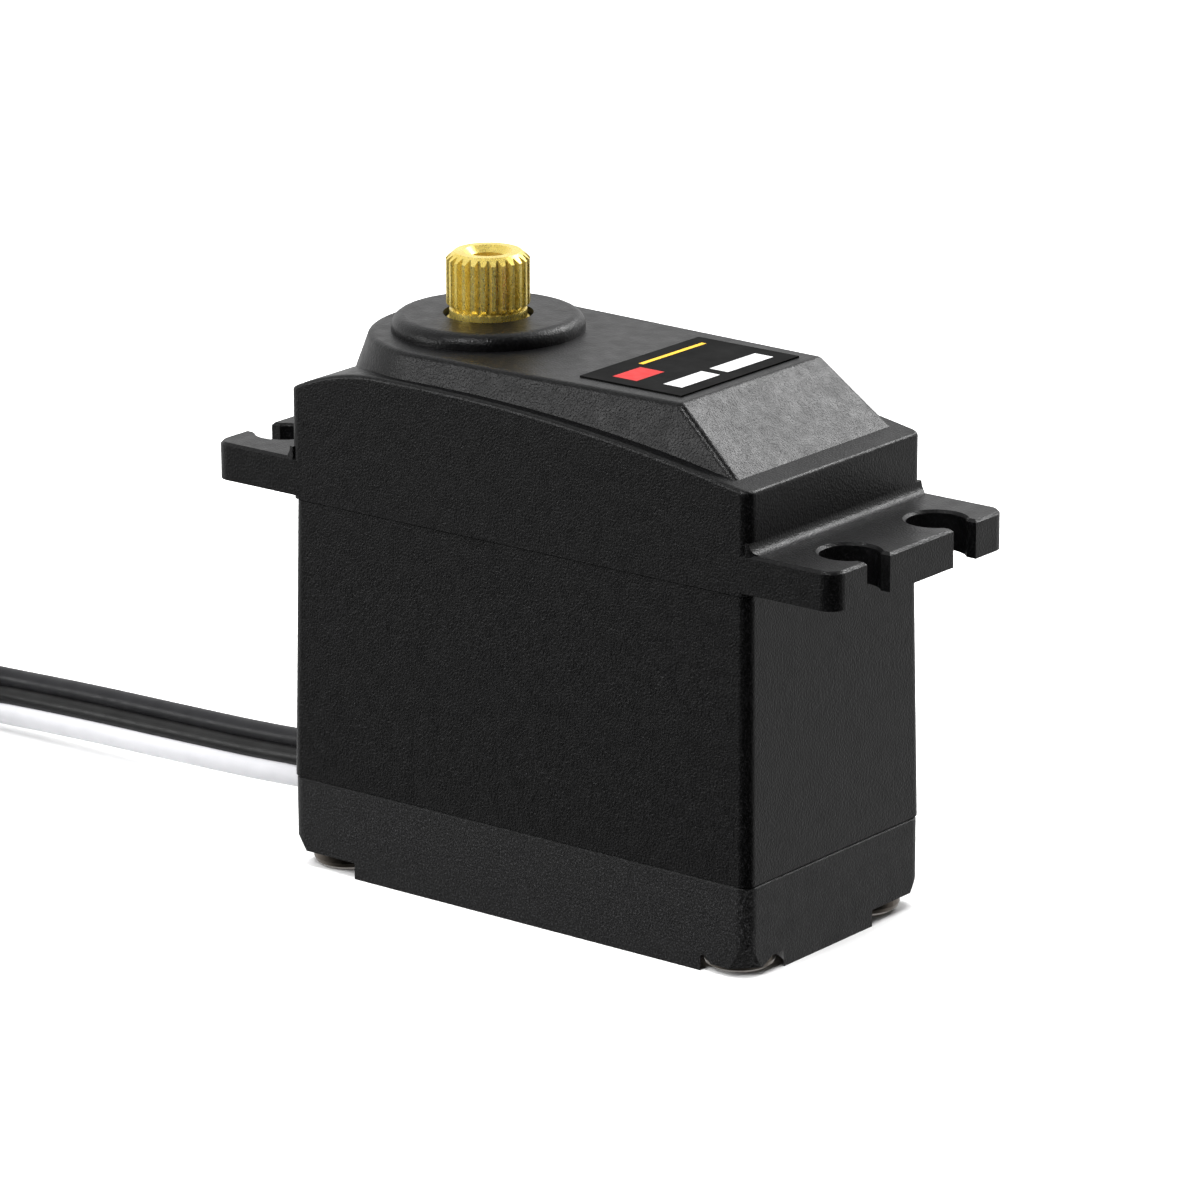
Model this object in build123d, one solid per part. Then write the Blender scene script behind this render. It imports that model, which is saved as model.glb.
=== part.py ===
from build123d import *
import math
import os

# A standard-size servo motor, modelled piece by piece in millimetres, +Z up.
# X runs along the case and Y across it. The output shaft stands near the -X end, the lead
# leaves through the -X wall, and z = 0 is the face of the bottom cover.

os.makedirs("parts", exist_ok=True)

# ---- Case ----------------------------------------------------------------------------
CASE_LENGTH = 40.5           # of the upper case
CASE_WIDTH = 19.95
CASE_CORNER = 0.8
COVER_CORNER = 1.0
HALF_LENGTH = CASE_LENGTH / 2
HALF_WIDTH = CASE_WIDTH / 2
WAIST_INSET = 0.15           # the middle case starts this far inside the upper case's outline
FOOT_OUTSET = 0.17           # and its draft ends this far outside it, at the bottom cover
COVER_SEAM_Z = 6.65
UPPER_SEAM_Z = 27.3
SEAM_CHAMFER = 0.1           # breaks the shells' outer edges, so that each seam shows as a groove
TOP_Z = 39.25
INNER_X = 19.0               # half the length of the hollow inside the upper case
INNER_Y = 8.7
LOWER_INNER_X = 18.9         # and inside the two lower shells
LOWER_INNER_Y = 8.6
INNER_CORNER = 0.6
FLOOR_Z = 1.5                # inside face of the bottom cover
DECK_Z = 25.6                # underside of the middle case's deck
TONGUE_HEIGHT = 0.6
TONGUE_WIDTH = 0.6

# ---- Top of the upper case -----------------------------------------------------------
CROWN_PEAK_X = -9.0          # the side walls' top edge is a long arc that peaks here
CROWN_PEAK_Z = 37.4
CROWN_RADIUS = 153.0
CROWN_SHOULDER_X = -12.0     # from here to the -X end the edge falls in a tighter arc
SHOULDER_RADIUS = 17.5
RIM_ROUNDING = 0.3
RAISED_CENTER_X = -9.6
RAISED_RADIUS = 8.87         # rounded end of the raised top, at its top face
RAISED_END_HALF_WIDTH = 8.06 # half width of the raised top where its slope begins
RAISED_DRAFT = 0.243         # how far its sides spread for each millimetre down
RAISED_LEAN = 0.146          # how much further its rounded end does
RAISED_FOOT_Z = 34.2
RAISED_FAR_X = 21.0
SLOPE_TOP_X = 13.0
SLOPE_FOOT_X = 18.3
SLOPE_FOOT_Z = 35.0
EDGE_ROUNDING = 0.46
BOSS_TOP_Z = 40.4
BOSS_RADIUS = 6.85
BOSS_ROUNDING = 0.9
BOSS_BORE = 3.2
LABEL_X = (3.3, 12.05)
LABEL_HALF_WIDTH = 6.7
LABEL_THICKNESS = 0.1

# ---- Mounting flanges ----------------------------------------------------------------
FLANGE_HALF_LENGTH = 27.4
FLANGE_BOTTOM_Z = 27.55
FLANGE_TOP_Z = 30.3
FLANGE_CORNER = 1.2
FLANGE_ROOT_RADIUS = 0.8
FLANGE_EDGE = 0.2
HOLE_X = 25.0
HOLE_Y = 5.0
HOLE_RADIUS = 2.1
SLOT_WIDTH = 2.65

# ---- Case screws ---------------------------------------------------------------------
SCREW_X = 17.6
SCREW_Y = 7.3
SCREW_PLACES = [(x, y) for x in (-SCREW_X, SCREW_X) for y in (-SCREW_Y, SCREW_Y)]
SCREW_SHANK = 0.93
SCREW_HEAD = 2.5
SCREW_HEAD_Z = (0.05, 1.05)
SCREW_TIP_Z = 32.5
SCREW_PILOT = 0.95
SCREW_HOLE = 1.1
SCREW_SEAT = 2.58            # close pocket round each head
LIPPED_RECESS = 3.1          # wider pocket at the corner that has a lip
OPEN_RECESS = 4.1            # and at the other three; all break through the cover's sides
SCREW_RECESS_TOP_Z = 1.2
LIP_Z = (0.65, 1.25)         # the lipped corner reaches down to the head between two notches
LIP_START = ((17.3, 8.4), (16.6, 7.2))   # where it begins along X and Y, at those heights
CORNER_BEVEL_Z = (0.0, 2.25)
CORNER_BEVEL_SLOPE = 0.458
COVER_POST = 2.9
MIDDLE_POST = 2.1
UPPER_POST = 1.75
UPPER_POST_TOP_Z = 33.4
GEAR_CHAMBER_RADIUS = 8.6    # round hollow over the output gear
ATTIC_X = (-3.8, 12.0)       # the narrower hollow above the wheels, inside the raised top
ATTIC_HALF_WIDTH = 7.6
CEILING_Z = 37.9
PIN_A_BOSS = 2.0             # bosses that hold the gear pins' upper ends
PIN_B_BOSS = 1.9
PIN_BOSS_GAP = 0.2           # between a boss and the pinion below it
STOP_X = (-8.9, -6.6)        # the case's stops, from the output axis
STOP_HALF_WIDTH = 0.5
STOP_Z = (36.15, 36.7)

# ---- Gear train ----------------------------------------------------------------------
PRESSURE_ANGLE = math.radians(25)
ADDENDUM = 0.9               # in modules: stub teeth, so that 10-tooth pinions aren't undercut
DEDENDUM = 1.15
BACKLASH = 0.045             # taken off each tooth's thickness at the pitch circle
FLANK_STEPS = 3
MOTOR_TEETH, FIRST_TEETH, MODULE_1 = 10, 45, 0.30
SMALL_TEETH, LARGE_TEETH, MODULE_2 = 10, 35, 0.35
THIRD_TEETH, OUTPUT_TEETH, MODULE_4 = 11, 40, 0.40
OUTPUT_X = -10.2
OUTPUT = (OUTPUT_X, 0.0)
PIN_B_Y = -1.2
PIN_A_Y = 2.15
MOTOR_Y = -0.4


def reach(distance, rise):
    """The run along X between two gear centres at a distance, when one stands `rise` across."""
    return math.sqrt(distance**2 - rise**2)


PIN_B = (OUTPUT_X + reach(MODULE_4 * (THIRD_TEETH + OUTPUT_TEETH) / 2, PIN_B_Y), PIN_B_Y)
PIN_A = (PIN_B[0] + reach(MODULE_2 * (SMALL_TEETH + LARGE_TEETH) / 2, PIN_A_Y - PIN_B_Y), PIN_A_Y)
MOTOR = (PIN_B[0] + reach(MODULE_1 * (MOTOR_TEETH + FIRST_TEETH) / 2, MOTOR_Y - PIN_B_Y), MOTOR_Y)
PIN_RADIUS = 0.75
PIN_BORE = 0.77              # the gears' running bore
PIN_SEAT = 0.76
PIN_TOP_Z = 38.4
PIN_A_FOOT_Z = 29.5          # pin A hangs from the upper case: the motor's boss is below it

# Heights of the wheels, from the deck up.
MOTOR_PINION_Z = (28.1, 29.4)
FIRST_WHEEL_Z = (28.35, 29.45)
FIRST_PINION_TOP = 31.3
SECOND_WHEEL_Z = (29.8, 31.0)
SECOND_PINION_TOP = 33.3
THIRD_WHEEL_Z = (31.55, 32.95)
THIRD_PINION_TOP = 36.1
OUTPUT_GEAR_Z = (33.4, 36.0)
GEAR_HUB_DROP = 0.2          # each hub stands this far below its wheel
WHEEL_HUB = 1.35
WEB_DEPTH = 0.25

# ---- Output shaft --------------------------------------------------------------------
SPLINE_TEETH = 25
SPLINE_RADIUS = 2.97
SPLINE_ROOT = 2.58
SPLINE_TOP_Z = 44.85
SPLINE_TIP_ANGLE = 2.6       # degrees, half of each tooth's tip and half of each gap's floor
SPLINE_ROOT_ANGLE = 1.4
SPLINE_BEVEL = 0.55
SPLINE_FOOT_Z = 40.8
COLLAR_RADIUS = 2.75
COLLAR_FOOT_Z = 40.05
SHAFT_BODY = 2.9
HORN_SCREW_RADIUS = 1.25     # tapping size of the M3 horn screw
HORN_SCREW_DEPTH = 8.0
COUNTERSINK_RADIUS = 1.72
COUNTERSINK_DEPTH = 0.45
STOP_RADII = (6.6, 7.9)      # stop tab on the output gear
STOP_TAB_WIDTH = 1.2
STOP_BLOCK_ANGLE = 100.0     # the case's stops stand this far either side of the tab
STOP_TAB_TOP_Z = 36.4

# ---- Ball bearings: bore radius, outer radius, ball radius, balls, and height ---------
UPPER_BEARING = dict(bore=3.0, outer=5.0, ball=0.6, count=9, z0=36.6, z1=39.6)
LOWER_BEARING = dict(bore=2.5, outer=4.0, ball=0.4, count=11, z0=24.8, z1=27.3)
BALL_CLEARANCE = 0.02

# ---- Motor ---------------------------------------------------------------------------
CAN_RADIUS = 8.0
CAN_INNER = 7.5
CAN_BOTTOM_Z = 9.2
CAN_TOP_Z = DECK_Z
CAN_PLATE = 0.8
MOTOR_BOSS_RADIUS = 3.0
MOTOR_BOSS_TOP_Z = 26.9
BUSHING_RADIUS = 2.0
MOTOR_SHAFT_RADIUS = 0.75
MOTOR_SHAFT_Z = (8.4, 29.45)
END_CAP_Z = 7.8
END_CAP_PLUG_Z = 10.2
MAGNET_INNER = 6.5
MAGNET_Z = (12.0, 24.0)
MAGNET_SPAN = 130.0
POLES = 3
CORE_RADIUS = 6.2
CORE_Z = (13.6, 22.6)
POLE_SPAN = 100.0
ARM_WIDTH = 2.4
WINDING_Z = (12.9, 23.3)
WINDING_RADII = (2.7, 4.6)
WINDING_WIDTH = 4.2
COMMUTATOR_RADIUS = 1.9
COMMUTATOR_Z = (10.4, 12.4)
BRUSH_Z = (10.9, 11.9)
MOTOR_SCREW_OFFSET = 5.5
MOTOR_SCREW_SHANK = 0.85
MOTOR_SCREW_HEAD = 1.5
MOTOR_SCREW_HEAD_HEIGHT = 0.8
MOTOR_SCREW_TIP_Z = 24.6
CORE_HUB = 1.8
BRUSH_HALF_LENGTH = 3.5
BRUSH_THICKNESS = 0.3
TERMINAL_OFFSET = 5.0
TERMINAL_HALF_WIDTH = 0.9

# ---- Position sensor -----------------------------------------------------------------
POT_RADIUS = 5.2
POT_INNER = 4.5
POT_Z = (15.0, 21.5)
POT_WALL = 0.7
POT_NECK_RADIUS = 3.0
POT_NECK_TOP_Z = 24.7
POT_SHAFT_RADIUS = 1.5
POT_FLAT = 0.9               # distance of the D flat from the axis
POT_SHAFT_TOP_Z = 28.0
POT_PIN_PITCH = 2.5
POT_PIN_HALF = 0.4
POT_PIN_THICKNESS = 0.35
POT_WIRE_RADIUS = 0.4
POT_WIRE_RUN = 4.9           # along X, from the sensor's pins to the board
POT_WIRE_BEND_Z = (11.0, 9.6)
DECK_BOSS_RADIUS = 5.2
DECK_BOSS_Z = 23.9

# ---- Control board -------------------------------------------------------------------
BOARD_X = (-13.0, 14.2)
BOARD_HALF_WIDTH = 7.6
BOARD_Z = (5.5, 6.5)
BOARD_RIB_X = (-9.0, 9.0)    # ribs on the cover's side walls that carry the board
BOARD_RIB_HALF_WIDTH = 1.0
DRIVER_CHIP_X = (3.5, 8.4)
DRIVER_CHIP_Y = 3.4
RESISTOR_START = (10.3, -4.0)
RESISTOR_PITCH = (1.3, 4.0)

# ---- Lead ----------------------------------------------------------------------------
RIBBON_HEIGHT = 4.3          # three wires side by side, standing on edge
RIBBON_THICKNESS = 1.45
# Route of the lead's middle line, (x, y, z), from the control board's edge to the hank.
LEAD_ROUTE = [
    (-13.05, 0.0, 4.2),
    (-21.5, 0.0, 4.3),
    (-30.5, 0.0, 3.55),
    (-40.5, 0.0, 3.3),
    (-50.5, 0.0, 3.1),
    (-59.5, 0.0, 2.7),
    (-67.0, 0.0, 2.5),
]
# The hank is a flat oval of turns standing on edge, wound about two fold centres.
HANK_RIGHT = (-70.0, -12.2)
HANK_LEFT = (-125.0, -12.2)
HANK_RADII = (9.1, 13.1)     # its inner and outer edge at the folds
HANK_Z = (0.35, 4.65)
# The last stretch leaves the inside of the hank for the connector.
TAIL_ROUTE = [
    (-84.0, -2.4, 2.5),
    (-91.5, -3.3, 2.5),
    (-98.5, -5.6, 2.5),
    (-105.5, -8.2, 2.5),
    (-112.5, -9.6, 2.5),
]
CONNECTOR_SIZE = (14.0, 2.6, 7.8)
CONNECTOR_HEADING = 191.0    # degrees from +X, seen from above
CONNECTOR_BITE = 1.0         # the ribbon's end inside the connector housing
CONNECTOR_FOOT_Z = 0.05
CONTACT_PITCH = 2.54
CAVITY_HALF = 0.85           # half the width of each contact's square cavity
CAVITY_START = 2.0
TIE_X = -97.0
TIE_WIDTH = 2.5
TIE_THICKNESS = 0.3

GROMMET_X = (-25.4, -18.1)
GROMMET_FLANGE_X = -18.9
GROMMET_TIP_Z = 4.0
GROMMET_FLANGE_HALF = 2.4
GROMMET_WIDE = (5.7, 3.6)    # height and width of its outer part at the wall
GROMMET_NARROW = (5.2, 2.5)  # and at its tip
GROMMET_CORNER = 0.7
SLOT_HALF_WIDTH = 1.6
SLOT_Z = (1.3, 7.1)          # slot in the -X wall, shared by the cover and the middle case

report = []


def save(name, shape):
    """Write one node's STEP file and note its volume."""
    export_step(shape, f"parts/{name}.step")
    report.append((name, len(shape.solids()), shape.volume))


def group(shapes):
    """Separate solids that share one node."""
    return Compound(children=[solid for shape in shapes for solid in shape.solids()])


def cylinder(center, z_range, radius):
    """An upright cylinder."""
    height = z_range[1] - z_range[0]
    base = (Align.CENTER, Align.CENTER, Align.MIN)
    return Pos(center[0], center[1], z_range[0]) * Cylinder(radius, height, align=base)


def ring(center, z_range, outer, inner):
    """An upright tube."""
    return cylinder(center, z_range, outer) - cylinder(center, z_range, inner)


def block(x_range, y_range, z_range, corner=0.0):
    """A box between two corners, its upright edges rounded if a corner radius is given."""
    length = x_range[1] - x_range[0]
    width = y_range[1] - y_range[0]
    outline = RectangleRounded(length, width, corner) if corner else Rectangle(length, width)
    place = Pos(sum(x_range) / 2, sum(y_range) / 2, z_range[0])
    return place * extrude(outline, z_range[1] - z_range[0])


def centered(half_length, half_width, z_range, corner=0.0):
    """A box centred on the case's axis."""
    return block((-half_length, half_length), (-half_width, half_width), z_range, corner)


def polar(radius, angle, center=(0.0, 0.0)):
    """A point at a radius and an angle in radians."""
    return (center[0] + radius * math.cos(angle), center[1] + radius * math.sin(angle))


def revolved(center, profile):
    """A solid of revolution about an upright axis, from (radius, z) points."""
    face = make_face(Polyline(*profile, close=True))
    return Pos(center[0], center[1], 0) * revolve(Plane.XZ * face, Axis.Z)


def sector(center, z_range, radii, middle, span):
    """Part of a ring, `span` degrees wide about the direction `middle`."""
    half = math.radians(span) / 2
    angle = math.radians(middle)
    inner, outer = radii
    corners = [polar(inner, angle - half), polar(outer, angle - half)]
    ends = [polar(outer, angle + half), polar(inner, angle + half)]
    outline = [
        Line(corners[0], corners[1]),
        ThreePointArc(corners[1], polar(outer, angle), ends[0]),
        Line(ends[0], ends[1]),
        ThreePointArc(ends[1], polar(inner, angle), corners[0]),
    ]
    height = z_range[1] - z_range[0]
    return Pos(center[0], center[1], z_range[0]) * extrude(make_face(outline), height)


# ---- Gears ---------------------------------------------------------------------------


def involute(radius, base):
    """The polar angle of an involute at a radius."""
    if radius <= base:
        return 0.0
    roll = math.acos(base / radius)
    return math.tan(roll) - roll


def gear_points(teeth, module, first_tooth):
    """Outline of a gear about its own centre; first_tooth is one tooth's direction."""
    pitch = module * teeth / 2
    base = pitch * math.cos(PRESSURE_ANGLE)
    tip = pitch + ADDENDUM * module
    root = pitch - DEDENDUM * module
    half_tooth = (math.pi * module / 2 - BACKLASH) / 2 / pitch + involute(pitch, base)
    start = max(base, root)
    radii = [start + (tip - start) * step / FLANK_STEPS for step in range(FLANK_STEPS + 1)]
    flank = [(root, half_tooth)] if root < base else []
    flank += [(radius, half_tooth - involute(radius, base)) for radius in radii]
    points = []
    for tooth in range(teeth):
        middle = first_tooth + 2 * math.pi * tooth / teeth
        points += [polar(radius, middle - angle) for radius, angle in flank]
        points += [polar(radius, middle + angle) for radius, angle in reversed(flank)]
    return points


def toothed(center, z_range, teeth, module, first_tooth):
    """A plain toothed disc."""
    outline = make_face(Polyline(*gear_points(teeth, module, first_tooth), close=True))
    height = z_range[1] - z_range[0]
    return Pos(center[0], center[1], z_range[0]) * extrude(outline, height)


def mesh_angles(driver, driven, driven_teeth):
    """First-tooth directions that put a driver's tooth in the middle of the driven gear's gap."""
    line = math.atan2(driven[1] - driver[1], driven[0] - driver[0])
    return line, line + math.pi + math.pi / driven_teeth


def wheel(center, z_range, teeth, module, first_tooth, bore):
    """A large gear with a shallow web recess in each face."""
    body = toothed(center, z_range, teeth, module, first_tooth) - cylinder(center, z_range, bore)
    web_outer = module * (teeth / 2 - DEDENDUM) - 0.7
    web_inner = bore + 0.8
    for low, high in (
        (z_range[0], z_range[0] + WEB_DEPTH),
        (z_range[1] - WEB_DEPTH, z_range[1]),
    ):
        body -= ring(center, (low, high), web_outer, web_inner)
    return body


def pinion(center, hub_z, top_z, teeth, module, first_tooth):
    """A small gear with a plain hub below it, which its wheel is pressed on, and a running bore."""
    hub = cylinder(center, hub_z, WHEEL_HUB)
    body = hub + toothed(center, (hub_z[1], top_z), teeth, module, first_tooth)
    return body - cylinder(center, (hub_z[0], top_z), PIN_BORE)


def make_gears():
    motor_line, first_line = mesh_angles(MOTOR, PIN_B, FIRST_TEETH)
    first_pinion_line, second_line = mesh_angles(PIN_B, PIN_A, LARGE_TEETH)
    second_pinion_line, third_line = mesh_angles(PIN_A, PIN_B, LARGE_TEETH)
    third_pinion_line, output_line = mesh_angles(PIN_B, OUTPUT, OUTPUT_TEETH)

    motor_gear = toothed(MOTOR, MOTOR_PINION_Z, MOTOR_TEETH, MODULE_1, motor_line)
    save("motor_pinion", motor_gear - cylinder(MOTOR, MOTOR_PINION_Z, MOTOR_SHAFT_RADIUS))

    stages = (
        ("first", PIN_B, FIRST_WHEEL_Z, FIRST_TEETH, MODULE_1, first_line,
         FIRST_PINION_TOP, SMALL_TEETH, MODULE_2, first_pinion_line),
        ("second", PIN_A, SECOND_WHEEL_Z, LARGE_TEETH, MODULE_2, second_line,
         SECOND_PINION_TOP, SMALL_TEETH, MODULE_2, second_pinion_line),
        ("third", PIN_B, THIRD_WHEEL_Z, LARGE_TEETH, MODULE_2, third_line,
         THIRD_PINION_TOP, THIRD_TEETH, MODULE_4, third_pinion_line),
    )
    for name, pin, wheel_z, teeth, module, line, top, small, small_module, small_line in stages:
        save(f"{name}_gear_wheel", wheel(pin, wheel_z, teeth, module, line, WHEEL_HUB))
        hub_z = (wheel_z[0] - GEAR_HUB_DROP, wheel_z[1])
        save(f"{name}_gear_pinion", pinion(pin, hub_z, top, small, small_module, small_line))

    output_bore = UPPER_BEARING["bore"]
    gear = wheel(OUTPUT, OUTPUT_GEAR_Z, OUTPUT_TEETH, MODULE_4, output_line, output_bore)
    tab_x = (OUTPUT_X - STOP_RADII[1], OUTPUT_X - STOP_RADII[0])
    tab_z = (OUTPUT_GEAR_Z[1] - WEB_DEPTH, STOP_TAB_TOP_Z)
    gear += block(tab_x, (-STOP_TAB_WIDTH / 2, STOP_TAB_WIDTH / 2), tab_z)
    save("output_gear", gear)


# ---- Output shaft --------------------------------------------------------------------


def d_section(z_range):
    """A D-shaped peg on the output axis, shared by the sensor's shaft and its socket."""
    peg = cylinder(OUTPUT, z_range, POT_SHAFT_RADIUS)
    flat_x = (OUTPUT_X + POT_FLAT, OUTPUT_X + 2 * POT_SHAFT_RADIUS)
    return peg - block(flat_x, (-POT_SHAFT_RADIUS, POT_SHAFT_RADIUS), z_range)


def spline_teeth():
    """The 25 teeth, with their ends turned down to cones."""
    tip_half = math.radians(SPLINE_TIP_ANGLE)
    root_half = math.radians(SPLINE_ROOT_ANGLE)
    pitch = 2 * math.pi / SPLINE_TEETH
    points = []
    for tooth in range(SPLINE_TEETH):
        middle = tooth * pitch
        points.append(polar(SPLINE_ROOT, middle - pitch / 2 + root_half))
        points.append(polar(SPLINE_RADIUS, middle - tip_half))
        points.append(polar(SPLINE_RADIUS, middle + tip_half))
        points.append(polar(SPLINE_ROOT, middle + pitch / 2 - root_half))
    height = SPLINE_TOP_Z - SPLINE_FOOT_Z
    star = Pos(OUTPUT_X, 0, SPLINE_FOOT_Z) * extrude(make_face(Polyline(*points, close=True)), height)
    envelope = revolved(OUTPUT, [
        (0, SPLINE_FOOT_Z),
        (SPLINE_ROOT, SPLINE_FOOT_Z),
        (SPLINE_RADIUS + 0.05, SPLINE_FOOT_Z + 0.4),
        (SPLINE_RADIUS + 0.05, SPLINE_TOP_Z - SPLINE_BEVEL),
        (SPLINE_ROOT - 0.2, SPLINE_TOP_Z),
        (0, SPLINE_TOP_Z),
    ])
    return star & envelope


def make_output_shaft():
    journal = LOWER_BEARING["bore"]
    shoulder_z = LOWER_BEARING["z1"]
    seat = UPPER_BEARING["bore"]
    body = revolved(OUTPUT, [
        (0, LOWER_BEARING["z0"]),
        (journal - 0.2, LOWER_BEARING["z0"]),
        (journal, LOWER_BEARING["z0"] + 0.2),
        (journal, shoulder_z),
        (SHAFT_BODY, shoulder_z),
        (SHAFT_BODY, OUTPUT_GEAR_Z[0]),
        (seat, OUTPUT_GEAR_Z[0]),
        (seat, COLLAR_FOOT_Z - 0.1),
        (seat - 0.1, COLLAR_FOOT_Z),
        (COLLAR_RADIUS, COLLAR_FOOT_Z),
        (COLLAR_RADIUS, SPLINE_FOOT_Z - 0.1),
        (SPLINE_ROOT, SPLINE_FOOT_Z),
        (0, SPLINE_FOOT_Z),
    ])
    body += spline_teeth()
    hole_foot = SPLINE_TOP_Z - HORN_SCREW_DEPTH
    hole = revolved(OUTPUT, [
        (0, hole_foot - 0.6),
        (HORN_SCREW_RADIUS, hole_foot),
        (HORN_SCREW_RADIUS, SPLINE_TOP_Z - COUNTERSINK_DEPTH),
        (COUNTERSINK_RADIUS, SPLINE_TOP_Z),
        (0, SPLINE_TOP_Z),
    ])
    socket = d_section((LOWER_BEARING["z0"], POT_SHAFT_TOP_Z + 0.2))
    save("output_shaft", body - hole - socket)


# ---- Ball bearings -------------------------------------------------------------------


def make_bearing(name, bore, outer, ball, count, z0, z1):
    pitch = (bore + outer) / 2
    middle = (z0 + z1) / 2
    gap = 0.6 * ball
    groove = Pos(OUTPUT_X, 0, middle) * Torus(pitch, ball + BALL_CLEARANCE)
    save(f"{name}_outer_race", ring(OUTPUT, (z0, z1), outer, pitch + gap) - groove)
    save(f"{name}_inner_race", ring(OUTPUT, (z0, z1), pitch - gap, bore) - groove)
    places = []
    for index in range(count):
        x, y = polar(pitch, 2 * math.pi * index / count, OUTPUT)
        places.append(Pos(x, y, middle))
    save(f"{name}_balls", group([place * Sphere(ball) for place in places]))
    cage = ring(OUTPUT, (middle - 0.3 * ball, middle + 1.5 * ball), pitch + 0.35 * ball,
                pitch - 0.35 * ball)
    for place in places:
        cage -= place * Sphere(ball + BALL_CLEARANCE)
    save(f"{name}_cage", cage)


# ---- Upper case ----------------------------------------------------------------------


def crown_z(x):
    """Height of the side walls' curved top edge."""
    def long_arc(at):
        return CROWN_PEAK_Z - CROWN_RADIUS + reach(CROWN_RADIUS, at - CROWN_PEAK_X)

    if x >= CROWN_SHOULDER_X:
        return long_arc(x)
    return long_arc(CROWN_SHOULDER_X) - SHOULDER_RADIUS + reach(SHOULDER_RADIUS, x - CROWN_SHOULDER_X)


def crowned_block():
    """The case up to its curved crown, with rounded corners and rim."""
    left, shoulder, right = -HALF_LENGTH, CROWN_SHOULDER_X, HALF_LENGTH
    shoulder_middle = (left + shoulder) / 2
    crown_middle = (shoulder + right) / 2
    outline = [
        Line((left, UPPER_SEAM_Z), (left, crown_z(left))),
        ThreePointArc((left, crown_z(left)), (shoulder_middle, crown_z(shoulder_middle)),
                      (shoulder, crown_z(shoulder))),
        ThreePointArc((shoulder, crown_z(shoulder)), (crown_middle, crown_z(crown_middle)),
                      (right, crown_z(right))),
        Line((right, crown_z(right)), (right, UPPER_SEAM_Z)),
        Line((right, UPPER_SEAM_Z), (left, UPPER_SEAM_Z)),
    ]
    body = extrude(Plane.XZ * make_face(outline), HALF_WIDTH, both=True)
    body = fillet(body.edges().filter_by(Axis.Z), CASE_CORNER)
    rim = []
    for edge in body.edges():
        center = edge.center()
        outermost = abs(center.X) > HALF_LENGTH - CASE_CORNER or abs(center.Y) > HALF_WIDTH - CASE_CORNER
        if outermost and center.Z > crown_z(left) - 0.5:
            rim.append(edge)
    return fillet(rim, RIM_ROUNDING)


def raised_face(z):
    """Outline of the raised top at one height: round at the output end, closing in towards +X."""
    drop = TOP_Z - z
    near = RAISED_RADIUS + drop * RAISED_DRAFT
    center_x = RAISED_CENTER_X - drop * RAISED_LEAN
    taper = (RAISED_RADIUS - RAISED_END_HALF_WIDTH) / (SLOPE_TOP_X - RAISED_CENTER_X)
    far = near - taper * (RAISED_FAR_X - RAISED_CENTER_X)
    start, end = (center_x, near), (center_x, -near)
    outline = [
        ThreePointArc(start, (center_x - near, 0), end),
        Line(end, (RAISED_FAR_X, -far)),
        Line((RAISED_FAR_X, -far), (RAISED_FAR_X, far)),
        Line((RAISED_FAR_X, far), start),
    ]
    return Plane.XY.offset(z) * make_face(outline)


def raised_top():
    """The drafted block above the crown, cut by the sloped end face."""
    body = loft([raised_face(RAISED_FOOT_Z), raised_face(TOP_Z)], ruled=True)
    fall = (TOP_Z - SLOPE_FOOT_Z) / (SLOPE_FOOT_X - SLOPE_TOP_X)
    low_x = SLOPE_TOP_X + (TOP_Z - RAISED_FOOT_Z + 1) / fall
    wedge = make_face(Polyline(
        (SLOPE_TOP_X - 1 / fall, TOP_Z + 1),
        (low_x, RAISED_FOOT_Z - 1),
        (RAISED_FAR_X + 1, RAISED_FOOT_Z - 1),
        (RAISED_FAR_X + 1, TOP_Z + 1),
        close=True,
    ))
    body -= extrude(Plane.XZ * wedge, CASE_WIDTH, both=True)
    upper_edges = [edge for edge in body.edges() if edge.center().Z > RAISED_FOOT_Z + 0.5]
    sharp = [edge for edge in upper_edges if edge.center().Z > TOP_Z - 0.01
             or (edge.center().X > SLOPE_TOP_X and abs(edge.center().Y) > 1)]
    body = fillet(sharp, EDGE_ROUNDING)
    footprint = centered(HALF_LENGTH - 0.05, HALF_WIDTH - 0.05, (RAISED_FOOT_Z, TOP_Z + 1), CASE_CORNER)
    return body & footprint


def flange_plate():
    """Both flanges as one plate, with a keyhole at each corner."""
    plate_z = (FLANGE_BOTTOM_Z, FLANGE_TOP_Z)
    plate = centered(FLANGE_HALF_LENGTH, HALF_WIDTH, plate_z, FLANGE_CORNER)
    for side in (-1, 1):
        for across in (-1, 1):
            y = across * HOLE_Y
            plate -= cylinder((side * HOLE_X, y), plate_z, HOLE_RADIUS)
            slot_x = sorted((side * HOLE_X, side * (FLANGE_HALF_LENGTH + 1)))
            plate -= block(slot_x, (y - SLOT_WIDTH / 2, y + SLOT_WIDTH / 2), plate_z)
    top_edges = plate.faces().sort_by(Axis.Z)[-1].edges()
    return chamfer(top_edges, FLANGE_EDGE)


def flange_root(side):
    """The concave rounding where the end wall meets a flange."""
    wall, floor, radius = HALF_LENGTH, FLANGE_TOP_Z, FLANGE_ROOT_RADIUS
    hidden = 0.3             # how far it reaches into the wall and the flange
    arc_middle = polar(radius, math.radians(225), (wall + radius, floor + radius))
    outline = [
        Line((wall - hidden, floor - hidden), (wall + radius, floor - hidden)),
        Line((wall + radius, floor - hidden), (wall + radius, floor)),
        ThreePointArc((wall + radius, floor), arc_middle, (wall, floor + radius)),
        Line((wall, floor + radius), (wall - hidden, floor + radius)),
        Line((wall - hidden, floor + radius), (wall - hidden, floor - hidden)),
    ]
    strip = extrude(Plane.XZ * make_face(outline), HALF_WIDTH, both=True)
    strip &= centered(wall + radius, HALF_WIDTH, (floor - hidden, floor + radius), radius + hidden)
    return strip if side > 0 else mirror(strip, Plane.YZ)


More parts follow.
